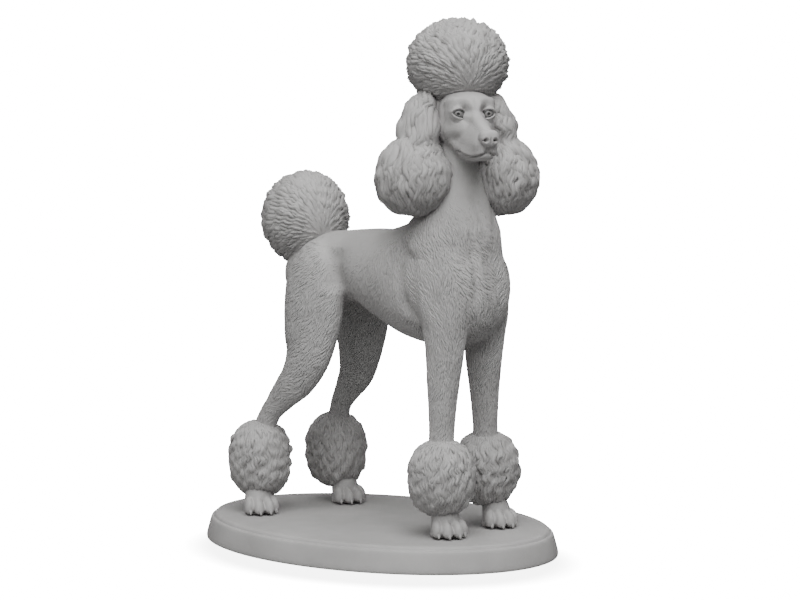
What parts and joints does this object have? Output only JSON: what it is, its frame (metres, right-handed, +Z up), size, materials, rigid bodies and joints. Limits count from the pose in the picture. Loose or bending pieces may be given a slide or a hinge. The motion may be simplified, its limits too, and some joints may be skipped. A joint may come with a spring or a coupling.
{
  "type": "poodle statuette",
  "caption": "Cast statuette of a standing standard poodle in show trim, head turned aside, with balls of curled coat, on an oval moulded plinth.",
  "frame": {"origin": "centre of the plinth's underside", "axes": "+Z up, -Y the way the dog's body faces, +X the dog's left side"},
  "size_m": [0.144, 0.2, 0.2618],
  "materials": {
    "resin": "matte grey cast resin"
  },
  "bodies": {
    "root": {"plinth": "resin", "torso": "resin", "neck": "resin", "head": "resin", "lower_jaw": "resin", "nose": "resin", "topknot": "resin", "eye_left": "resin", "eye_right": "resin", "ear_left": "resin", "ear_right": "resin", "ear_ball_left": "resin", "ear_ball_right": "resin", "tail": "resin", "tail_ball": "resin", "leg_fore_left": "resin", "leg_fore_right": "resin", "leg_hind_left": "resin", "leg_hind_right": "resin", "leg_ball_fore_left": "resin", "leg_ball_fore_right": "resin", "leg_ball_hind_left": "resin", "leg_ball_hind_right": "resin", "paw_fore_left": "resin", "paw_fore_right": "resin", "paw_hind_left": "resin", "paw_hind_right": "resin"}
  },
  "joints": []
}
